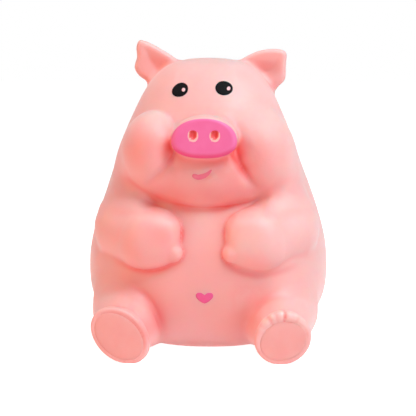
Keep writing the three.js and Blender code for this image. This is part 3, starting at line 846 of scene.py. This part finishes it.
# The paler layer: whitened skin gathered at the collar, the nostril rims, and the painted light of the pale
# spots
gathered = ramp(-farCollar, -3.4, -1.2) * ramp(np.sin(math.pi * shareCollar), 0.1, 0.4)
gathered = gathered * (1 - np.minimum(pleatShade, 1))
keepLayer(skin, "frostAndLight", np.maximum(np.maximum(gathered, rims * (1 - pitShadeMask)), paintedLight))
print("creases measured")


# Finishes
def colour(red, green, blue):
    linear = []
    for part in (red, green, blue):
        part = part / 255
        linear.append(part / 12.92 if part <= 0.04045 else ((part + 0.055) / 1.055) ** 2.4)
    return (*linear, 1.0)


def newMaterial(name):
    material = bpy.data.materials.new(name)
    material.use_nodes = True
    return material, material.node_tree.nodes, material.node_tree.links


def shaderOf(material):
    return material.node_tree.nodes["Principled BSDF"]


def feed(links, socket, value):
    if isinstance(value, (int, float, tuple)):
        socket.default_value = value
    else:
        links.new(value, socket)


def mixColours(nodes, links, share, first, second):
    mix = nodes.new("ShaderNodeMix")
    mix.data_type = "RGBA"
    feed(links, mix.inputs[0], share)
    feed(links, mix.inputs[6], first)
    feed(links, mix.inputs[7], second)
    return mix.outputs[2]


def reckon(nodes, links, operation, first, second, third=0.0, clamp=False):
    result = nodes.new("ShaderNodeMath")
    result.operation = operation
    result.use_clamp = clamp
    for index, value in enumerate((first, second, third)):
        feed(links, result.inputs[index], value)
    return result.outputs[0]


def speckle(nodes, links, scale, detail, low, high):
    place = nodes.new("ShaderNodeTexCoord")
    texture = nodes.new("ShaderNodeTexNoise")
    texture.inputs["Scale"].default_value = scale
    texture.inputs["Detail"].default_value = detail
    links.new(place.outputs["Object"], texture.inputs["Vector"])
    spread = nodes.new("ShaderNodeMapRange")
    spread.inputs["From Min"].default_value = 0.3
    spread.inputs["From Max"].default_value = 0.7
    spread.inputs["To Min"].default_value = low
    spread.inputs["To Max"].default_value = high
    links.new(texture.outputs["Fac"], spread.inputs["Value"])
    return spread.outputs["Result"]


def bumpy(nodes, links, shader, height, strength, depth):
    bump = nodes.new("ShaderNodeBump")
    bump.inputs["Strength"].default_value = strength
    bump.inputs["Distance"].default_value = depth * mm
    links.new(height, bump.inputs["Height"])
    links.new(bump.outputs["Normal"], shader.inputs["Normal"])


# Light goes deepest into the soft rubber in red
def softInside(shader, weight, scale):
    shader.inputs["Subsurface Weight"].default_value = weight
    shader.inputs["Subsurface Radius"].default_value = (1.0, 0.16, 0.1)
    shader.inputs["Subsurface Scale"].default_value = scale * mm


skinFinish = {
    "pink": colour(252, 193, 190),
    "warm": colour(252, 186, 181),
    # deep is the colour of painted shade in creases and hollows
    "deep": colour(242, 92, 88),
    # The ear hollow colour: painted shade and painted glow of light through the ear
    "earHollowShade": colour(243, 128, 118),
    # frost is paler skin, and also the colour of the painted light
    "frostAndLight": colour(255, 214, 208),
    # The nostril pit colour: painted shade in the holes
    "pitShade": colour(232, 44, 52),
    "pitShadeShare": 0.8,
    "creaseShare": 0.75,
    "shadeShare": 0.36,
    "wideShadeShare": 0.14,
    "earShare": 0.12,
    "earHollowShadeShare": 0.42,
    "frostAndLightShare": 0.55,
    "roughness": (0.42, 0.52),
    "specular": 0.6,
    "subsurface": 0.85,
    "subsurfaceScale": 7.0,
    "sheen": 0.35,
    "mottleScale": 45,
    "glossScale": 400,
    "poreScale": 1800,
    "poreStrength": 0.08,
    "poreDepth": 0.2,
}


def skinLayer(nodes, name):
    layer = nodes.new("ShaderNodeAttribute")
    layer.attribute_name = name
    return layer.outputs["Fac"]


def skinMaterial():
    material, nodes, links = newMaterial("soft_pink_skin")
    shader = shaderOf(material)
    mottle = speckle(nodes, links, skinFinish["mottleScale"], 3, 0.0, 1.0)
    base = mixColours(nodes, links, mottle, skinFinish["pink"], skinFinish["warm"])
    # The enclosed layers paint shade into creases and hollows, darkening the pink towards the deep colour
    depth = 0.0
    for name in creaseReach:
        share = skinFinish[name + "Share"]
        depth = reckon(nodes, links, "MULTIPLY_ADD", skinLayer(nodes, name), share, depth, True)
    keep = reckon(nodes, links, "MULTIPLY_ADD", skinLayer(nodes, "inEar"), skinFinish["earShare"] - 1, 1.0)
    depth = reckon(nodes, links, "MULTIPLY", depth, keep)
    base = mixColours(nodes, links, depth, base, skinFinish["deep"])
    # Ear hollows and nostril pits get painted shade, and the pale layer paler skin and painted light
    for name in ("earHollowShade", "frostAndLight", "pitShade"):
        share = reckon(nodes, links, "MULTIPLY", skinLayer(nodes, name), skinFinish[name + "Share"])
        base = mixColours(nodes, links, share, base, skinFinish[name])
    links.new(base, shader.inputs["Base Color"])
    gloss = speckle(nodes, links, skinFinish["glossScale"], 2, *skinFinish["roughness"])
    links.new(gloss, shader.inputs["Roughness"])
    softInside(shader, skinFinish["subsurface"], skinFinish["subsurfaceScale"])
    scatter = reckon(nodes, links, "MULTIPLY", skinLayer(nodes, "open"), skinFinish["subsurface"])
    links.new(scatter, shader.inputs["Subsurface Weight"])
    shader.inputs["Specular IOR Level"].default_value = skinFinish["specular"]
    shader.inputs["Sheen Weight"].default_value = skinFinish["sheen"]
    pores = speckle(nodes, links, skinFinish["poreScale"], 2, 0.0, 1.0)
    bumpy(nodes, links, shader, pores, skinFinish["poreStrength"], skinFinish["poreDepth"])
    return material


skin.data.materials.append(skinMaterial())
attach(skin, "root")
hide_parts("torso_skin", "head_skin", "snout", "ear_right", "ear_left", "arm_right", "arm_left",
            "leg_right", "leg_left", "tail")


paintFinish = {"glossScale": 900, "grainScale": 2500, "grainStrength": 0.05, "grainDepth": 0.1}


def plainMaterial(name, base, second, roughness, specular=0.5, speckleSize=300):
    material, nodes, links = newMaterial(name)
    shader = shaderOf(material)
    mottle = speckle(nodes, links, speckleSize, 3, 0.0, 1.0)
    links.new(mixColours(nodes, links, mottle, base, second), shader.inputs["Base Color"])
    gloss = speckle(nodes, links, paintFinish["glossScale"], 2, *roughness)
    links.new(gloss, shader.inputs["Roughness"])
    shader.inputs["Specular IOR Level"].default_value = specular
    grain = speckle(nodes, links, paintFinish["grainScale"], 2, 0.0, 1.0)
    bumpy(nodes, links, shader, grain, paintFinish["grainStrength"], paintFinish["grainDepth"])
    return material


# Spinning and solidifying list faces and edges in another order each run, so they get a fixed one here
def sortParts(mesh):
    mesh.verts.index_update()
    count = len(mesh.verts)

    def order(part):
        number = 0
        for corner in sorted(vertex.index for vertex in part.verts)[:3]:
            number = number * count + corner
        return number

    mesh.faces.sort(key=order)
    mesh.edges.sort(key=order)


# A profile of (out, 0, along) places, spun once round the Z axis
def spun(profile, steps, merge):
    mesh = bmesh.new()
    line = [mesh.verts.new(place) for place in profile]
    edges = [mesh.edges.new(pair) for pair in zip(line[:-1], line[1:])]
    bmesh.ops.spin(
        mesh, geom=line + edges, cent=(0, 0, 0), axis=(0, 0, 1), angle=2 * math.pi, steps=steps,
        use_merge=True,
    )
    bmesh.ops.remove_doubles(mesh, verts=mesh.verts, dist=merge)
    sortParts(mesh)
    return mesh


# Printed films: a round sheet of rings, laid on the skin as it is seen from the front
def roundSheet(rings, steps):
    mesh = spun([(ring / rings, 0, 0) for ring in range(rings + 1)], steps, 1e-6)
    bmesh.ops.recalc_face_normals(mesh, faces=mesh.faces)
    return mesh


def polarOf(mesh):
    flat = np.array([vertex.co[:2] for vertex in mesh.verts])
    return np.hypot(flat[:, 0], flat[:, 1]), np.arctan2(flat[:, 1], flat[:, 0])


def frontOf(field, x, z):
    points = np.column_stack([x, np.full_like(x, -60.0), z])
    for _ in range(80):
        points[:, 1] += np.clip(field(points) * 0.6, -0.5, 3)
    return points


def laidSheet(name, mesh, points, thick):
    for vertex, point in zip(mesh.verts, points):
        vertex.co = Vector(point) * mm
    bmesh.ops.recalc_face_normals(mesh, faces=mesh.faces)
    if sum(face.normal.y for face in mesh.faces) > 0:
        bmesh.ops.reverse_faces(mesh, faces=mesh.faces)
    bmesh.ops.solidify(mesh, geom=mesh.faces, thickness=thick * mm)
    bmesh.ops.recalc_face_normals(mesh, faces=mesh.faces)
    sortParts(mesh)
    return newPiece(name, mesh)


filmShape = {"thick": 0.3, "thinsFrom": 0.75, "thinsTo": 1.05}


def film(name, node, edge, material, stand, base=0.0, rings=8, steps=48):
    mesh = roundSheet(rings, steps)
    share, angle = polarOf(mesh)
    x, z = edge(angle, share)
    height = base + stand * (1 - ramp(share, filmShape["thinsFrom"], filmShape["thinsTo"]))
    points = frontOf(skinField, x, z)
    points = points + outwardOf(skinField, points) * height[:, None]
    piece = laidSheet(name, mesh, points, filmShape["thick"])
    smoothShade(piece)
    piece.data.materials.append(material)
    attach(piece, "root")
    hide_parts(node)
    return piece


def turned(x, z, degrees):
    angle = math.radians(degrees)
    return x * math.cos(angle) - z * math.sin(angle), x * math.sin(angle) + z * math.cos(angle)


def ovalEdge(x, z, length, breadth, tilt, egg=0.0):
    def edge(angle, share):
        along = share * np.cos(angle)
        across = share * np.sin(angle) * (1 + egg * along)
        a, b = turned(along * length / 2, across * breadth / 2, tilt)
        return x + a, z + b

    return edge


eyeShape = {
    "right": {
        "x": -7.65, "z": 82.65, "length": 5.3, "breadth": 4.1, "tilt": 25, "egg": 0.08, "glint": (1.15, 0),
    },
    "left": {
        "x": 6.1, "z": 83.2, "length": 5.45, "breadth": 4.3, "tilt": -8, "egg": -0.04, "glint": (1.4, -0.15),
    },
    "base": 0.02,
    "stand": 0.14,
    "glintSize": 1.25,
    "glintRound": 0.92,
    "glintTilt": 60,
    "glintStand": 0.07,
}
blackPaint = plainMaterial(
    "black_eye_paint", colour(6, 4, 5), colour(20, 15, 18), (0.5, 0.6), specular=0.06, speckleSize=900
)
pearlPaint = plainMaterial(
    "pearl_glint_paint", colour(250, 204, 206), colour(244, 172, 182), (0.25, 0.35), speckleSize=1200
)
for side in ("right", "left"):
    eye = eyeShape[side]
    edge = ovalEdge(eye["x"], eye["z"], eye["length"], eye["breadth"], eye["tilt"], eye["egg"])
    film(
        side + "_eye_print", "eye_" + side, edge, blackPaint,
        eyeShape["stand"], eyeShape["base"],
    )
    glintX, glintZ = eye["x"] + eye["glint"][0], eye["z"] + eye["glint"][1]
    size = eyeShape["glintSize"]
    edge = ovalEdge(glintX, glintZ, size, size * eyeShape["glintRound"], eyeShape["glintTilt"])
    film(
        side + "_glint_print", "eye_glint_" + side, edge, pearlPaint,
        eyeShape["glintStand"], eyeShape["stand"], 4, 24,
    )
print("eyes printed")

magentaPaint = plainMaterial(
    "magenta_paint", colour(246, 118, 176), colour(243, 109, 168), (0.38, 0.5), speckleSize=250
)
mouthShape = {"path": [(-3.1, 57.2), (-1.2, 56.5), (1.2, 57.3), (2.8, 58.8)], "half": 0.85, "stand": 0.06}
mouthLine = smoothCurve(mouthShape["path"], 10)


def mouthEdge(angle, share):
    along = share * np.cos(angle)
    across = share * np.sin(angle)
    place = (along + 1) / 2 * (len(mouthLine) - 1)
    index = np.minimum(place.astype(int), len(mouthLine) - 2)
    part = (place - index)[:, None]
    centre = mouthLine[index] * (1 - part) + mouthLine[index + 1] * part
    course = mouthLine[index + 1] - mouthLine[index]
    course = course / np.linalg.norm(course, axis=1)[:, None]
    reach = across * mouthShape["half"] * (1 - 0.35 * (along + 0.2))
    return centre[:, 0] - course[:, 1] * reach, centre[:, 1] + course[:, 0] * reach


mouthPaint = plainMaterial(
    "faded_magenta_paint", colour(241, 112, 146), colour(242, 128, 146), (0.42, 0.55), speckleSize=700
)
film("mouth_print", "mouth_paint", mouthEdge, mouthPaint, mouthShape["stand"])

heartShape = {"x": 0.6, "z": 19.5, "width": 5.4, "height": 3.5, "stand": 0.1}


def heartEdge(angle, share):
    power = 2.4 - 0.55 * (1 - np.cos(angle))
    lobes = np.sign(np.sin(angle)) * np.abs(np.sin(angle)) ** power
    rise = (13 * np.cos(angle) - 5 * np.cos(2 * angle) - 2 * np.cos(3 * angle) - np.cos(4 * angle)) / 15
    x = heartShape["x"] - share * lobes * heartShape["width"] / 2
    return x, heartShape["z"] + share * rise * heartShape["height"] / 1.95


heartPaint = plainMaterial(
    "deep_magenta_paint", colour(240, 94, 156), colour(237, 88, 150), (0.38, 0.5), speckleSize=700
)
film("heart_print", "navel_heart", heartEdge, heartPaint, heartShape["stand"])
print("mouth and heart printed")


# Snout paint: a cap over the front of the barrel that reaches further back underneath
snoutPaint = {
    "lipShade": colour(236, 52, 122),
    "lipShadeShare": 0.7,
    "reach": 1.5,
    "slant": 0.18,
    "inside": 7.0,
    "stand": 0.1,
    "thick": 0.25,
    "rings": 36,
    "steps": 96,
    "holeDrop": 0.5,
}


def meetOutwards(field, centre, rays):
    near = np.zeros(len(rays))
    far = np.full(len(rays), 16.0)
    for _ in range(24):
        middle = (near + far) / 2
        outside = field(centre + rays * middle[:, None]) > 0
        far = np.where(outside, middle, far)
        near = np.where(outside, near, middle)
    return centre + rays * near[:, None]


def paintCap():
    mesh = roundSheet(snoutPaint["rings"], snoutPaint["steps"])
    share, angle = polarOf(mesh)
    centre = snoutMiddle + np.array([0, snoutPaint["inside"], 0.8])

    def raysAt(tilt):
        return np.column_stack([np.sin(tilt) * np.cos(angle), -np.cos(tilt), np.sin(tilt) * np.sin(angle)])

    low, high = np.zeros(len(angle)), np.full(len(angle), math.radians(110))
    for _ in range(22):
        middle = (low + high) / 2
        points = meetOutwards(barrelField, centre, raysAt(middle))
        limit = snoutMiddle[1] + snoutPaint["reach"] - snoutPaint["slant"] * (points[:, 2] - snoutMiddle[2])
        beyond = points[:, 1] > limit
        high = np.where(beyond, middle, high)
        low = np.where(beyond, low, middle)
    points = meetOutwards(barrelField, centre, raysAt(low * share))
    height = 0.02 + snoutPaint["stand"] * (1 - ramp(share, 0.94, 1.02))
    points = points + outwardOf(barrelField, points) * height[:, None]
    return laidSheet("snout_paint_cap", mesh, points, snoutPaint["thick"])


def nostrilCutter():
    mesh = bmesh.new()
    width = snoutShape["nostrilWidth"] / 2 + snoutShape["nostrilRim"]
    height = snoutShape["nostrilHeight"] / 2 + snoutShape["nostrilRim"] * 0.6
    size = Matrix.Rotation(math.pi / 2, 4, "X") @ Matrix.Diagonal((width * mm, height * mm, 8 * mm, 1))
    for side in (-1, 1):
        made = bmesh.ops.create_cone(mesh, cap_ends=True, segments=40, radius1=1, radius2=1, depth=1)
        place = Matrix.Translation(Vector(nostrilPlace(side, snoutPaint["holeDrop"])) * mm)
        bmesh.ops.transform(mesh, matrix=place @ size, verts=made["verts"])
    bmesh.ops.recalc_face_normals(mesh, faces=mesh.faces)
    return newPiece("nostril_cutter", mesh)


# The paint is made darker on the lip, where the snout turns downwards, as painted shade
def shadeLip(material):
    nodes, links = material.node_tree.nodes, material.node_tree.links
    socket = shaderOf(material).inputs["Base Color"]
    share = reckon(nodes, links, "MULTIPLY", skinLayer(nodes, "lipShade"), snoutPaint["lipShadeShare"])
    links.new(mixColours(nodes, links, share, socket.links[0].from_socket, snoutPaint["lipShade"]), socket)


cap, cutter = paintCap(), nostrilCutter()
holes = cap.modifiers.new("holes", "BOOLEAN")
holes.operation = "DIFFERENCE"
holes.object = cutter
applyModifiers(cap)
bpy.data.objects.remove(cutter)
# Painted shade on the downward-facing lip
keepLayer(cap, "lipShade", ramp(-outwardOf(barrelField, pointsOf(cap))[:, 2], 0.1, 0.65))
shadeLip(magentaPaint)
cap.data.materials.append(magentaPaint)
smoothShade(cap)
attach(cap, "root")
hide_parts("snout_paint")
print("snout painted")


# Soles: thin discs with an eased rim and a spigot that plugs the foot
soleShape = {
    "thick": 1.8,
    "spigot": 2.0,
    "spigotInset": 1.4,
    "gap": 0.06,
    "ease": 0.35,
    "crown": 0.35,
    "ripple": 0.05,
    "ripplesPerMetre": 180,
}
solePink = plainMaterial(
    "pink_sole", colour(250, 181, 175), colour(247, 171, 165), (0.5, 0.6), speckleSize=160
)
softInside(shaderOf(solePink), 0.35, 2.0)


def soleDisc(side, name, node):
    shape = footShapes[side]
    meanRadius = math.sqrt(shape["soleHalf"][0] * shape["soleHalf"][1])
    radius = meanRadius - soleShape["gap"]
    ease = soleShape["ease"]
    back = -soleShape["thick"]
    profile = []
    for share in np.linspace(0, 0.93, 20):
        profile.append((radius * share, soleShape["crown"] * (1 - share ** 2) + ease * 0.5))
    for turn in np.linspace(0.5, math.pi / 2, 6):
        profile.append((radius - ease + ease * math.sin(turn), ease * math.cos(turn) - ease * 0.5))
    inner = radius - soleShape["spigotInset"]
    bottom = back - soleShape["spigot"]
    profile += [(radius, back), (inner, back), (inner, bottom), (0, bottom)]
    mesh = spun([(out * mm, 0, height * mm) for out, height in profile], 96, 1e-7)
    for vertex in mesh.verts:
        if vertex.co.z > 0:
            spot = Vector((vertex.co.x, vertex.co.y, side)) * soleShape["ripplesPerMetre"]
            vertex.co.z += soleShape["ripple"] * mm * noise.noise(spot)
    long, short = (half / meanRadius for half in shape["soleHalf"])
    longAxis, shortAxis, out = footAxes(side)
    middle = Vector(footPlace(side)) + Vector(sideward(side)) * (shape["soleMiddle"][0] - shape["middle"][0])
    middle.z = shape["soleMiddle"][1]
    place = (middle - out * legShape["recess"]) * mm
    frameOfSole = Matrix((longAxis * long, shortAxis * short, out)).transposed().to_4x4()
    bmesh.ops.transform(mesh, matrix=Matrix.Translation(place) @ frameOfSole, verts=mesh.verts)
    bmesh.ops.recalc_face_normals(mesh, faces=mesh.faces)
    sortParts(mesh)
    piece = newPiece(name, mesh)
    smoothShade(piece)
    piece.data.materials.append(solePink)
    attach(piece, "root")
    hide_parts(node)


soleDisc(-1, "right_sole_disc", "sole_right")
soleDisc(1, "left_sole_disc", "sole_left")
print("soles seated")

# Dough filling: a soft lump that follows the inside of the skin
fillShape = {
    "wall": 2.6,
    "voxel": 1.6,
    "blend": 6,
    "balls": [((0, 0, 28), (68, 60, 46)), ((0, -4, 62), (44, 42, 48))],
}
fillMesh = bmesh.new()
for centre, size in fillShape["balls"]:
    ball(fillMesh, centre, size)
filling = newPiece("dough_filling", fillMesh)
voxelRemesh(filling, fillShape["voxel"])


def insideField(points):
    form = blend(torsoField(points), headField(points), fillShape["blend"])
    return carve(form, points[:, 2], 1) + fillShape["wall"]


fillPlaces = pointsOf(filling)
for _ in range(4):
    fillPlaces = settle(insideField, relax(fillPlaces, edgesOf(filling), 2), 2)
placePoints(filling, fillPlaces)
smoothShade(filling)
filling.data.materials.append(
    plainMaterial("dough", colour(243, 230, 216), colour(236, 220, 204), (0.8, 0.95))
)
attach(filling, "root")
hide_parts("filling")
print("filling settled")


# Floor, light and camera
def seenPlainly(nodes, links):
    path = nodes.new("ShaderNodeLightPath")
    seen = reckon(nodes, links, "MAXIMUM", path.outputs["Is Camera Ray"], path.outputs["Is Glossy Ray"])
    return reckon(nodes, links, "MAXIMUM", seen, path.outputs["Is Transmission Ray"])


# The lamps are tinted, so that the skin's red hardly varies over the toy
studio = {
    "aim": (0, 0, 0.045),
    "worldStrength": 0.12,
    "worldTint": (1.0, 0.1, 0.08, 1),
    "floorColour": (0.62, 0.6, 0.6, 1),
    "floorGlow": 0.97,
    "bounce": 0.34,
    "bounceTint": (1.0, 0.42, 0.4, 1),
    "lights": {
        "key_light": {"place": (0.42, -0.4, 0.82), "size": 0.5, "power": 6.8, "tint": (0.76, 0.96, 1.0)},
        "top_light": {"place": (-0.1, -0.2, 1.0), "size": 0.8, "power": 3.7, "tint": (0.76, 0.96, 1.0)},
        "left_fill": {"place": (-0.7, -0.35, 0.15), "size": 0.4, "power": 2.2, "tint": (1.0, 0.36, 0.1)},
        "right_fill": {"place": (0.75, -0.5, 0.2), "size": 0.4, "power": 1.5, "tint": (0.85, 0.96, 1.0)},
    },
}

world = bpy.data.worlds.new("studio")
bpy.context.scene.world = world
world.use_nodes = True
worldNodes, worldLinks = world.node_tree.nodes, world.node_tree.links
soft = worldNodes["Background"]
soft.inputs["Color"].default_value = studio["worldTint"]
soft.inputs["Strength"].default_value = studio["worldStrength"]
plainWhite = worldNodes.new("ShaderNodeBackground")
plainWhite.inputs["Color"].default_value = (1, 1, 1, 1)
plainWhite.inputs["Strength"].default_value = 1.0
choose = worldNodes.new("ShaderNodeMixShader")
worldLinks.new(seenPlainly(worldNodes, worldLinks), choose.inputs[0])
worldLinks.new(soft.outputs[0], choose.inputs[1])
worldLinks.new(plainWhite.outputs[0], choose.inputs[2])
worldLinks.new(choose.outputs[0], worldNodes["World Output"].inputs["Surface"])

floorMesh = bmesh.new()
bmesh.ops.create_grid(floorMesh, x_segments=8, y_segments=8, size=3)
floor = newPiece("pale_floor", floorMesh)
floorMaterial, floorNodes, floorLinks = newMaterial("pale_floor")
floorShader = shaderOf(floorMaterial)
floorShader.inputs["Base Color"].default_value = studio["floorColour"]
floorShader.inputs["Roughness"].default_value = 0.9
# Besides showing white, the floor glows faint pink light onto the toy, a glowing stand-in for light bounced
# off the floor
plain = seenPlainly(floorNodes, floorLinks)
gain = studio["floorGlow"] - studio["bounce"]
glow = reckon(floorNodes, floorLinks, "MULTIPLY_ADD", plain, gain, studio["bounce"])
floorLinks.new(glow, floorShader.inputs["Emission Strength"])
tint = mixColours(floorNodes, floorLinks, plain, studio["bounceTint"], (1, 1, 1, 1))
floorLinks.new(tint, floorShader.inputs["Emission Color"])
floor.data.materials.append(floorMaterial)

for name, light in studio["lights"].items():
    data = bpy.data.lights.new(name, "AREA")
    data.shape = "DISK"
    data.size = light["size"]
    data.energy = light["power"]
    data.color = light["tint"]
    lamp = bpy.data.objects.new(name, data)
    lamp.location = light["place"]
    aim = Vector(studio["aim"]) - Vector(light["place"])
    lamp.rotation_euler = aim.to_track_quat("-Z", "Y").to_euler()
    bpy.context.scene.collection.objects.link(lamp)

cameraView = {
    "azimuth": 2.5,
    "elevation": 5.5,
    "distance": 0.6,
    "target": (0.00016, 0, 0.0437),
    "pixelsPerMetre": 3080,
    "pixels": 416,
}
turn, lift = math.radians(cameraView["azimuth"]), math.radians(cameraView["elevation"])
back = Vector((math.sin(turn) * math.cos(lift), -math.cos(turn) * math.cos(lift), math.sin(lift)))
cameraData = bpy.data.cameras.new("camera")
cameraData.sensor_width = 36
metresSeen = cameraView["pixels"] / cameraView["pixelsPerMetre"]
cameraData.lens = cameraData.sensor_width * cameraView["distance"] / metresSeen
camera = bpy.data.objects.new("camera", cameraData)
camera.location = Vector(cameraView["target"]) + cameraView["distance"] * back
camera.rotation_euler = (-back).to_track_quat("-Z", "Y").to_euler()
bpy.context.scene.collection.objects.link(camera)
bpy.context.scene.camera = camera
bpy.context.scene.view_settings.view_transform = "Standard"
print("studio set")
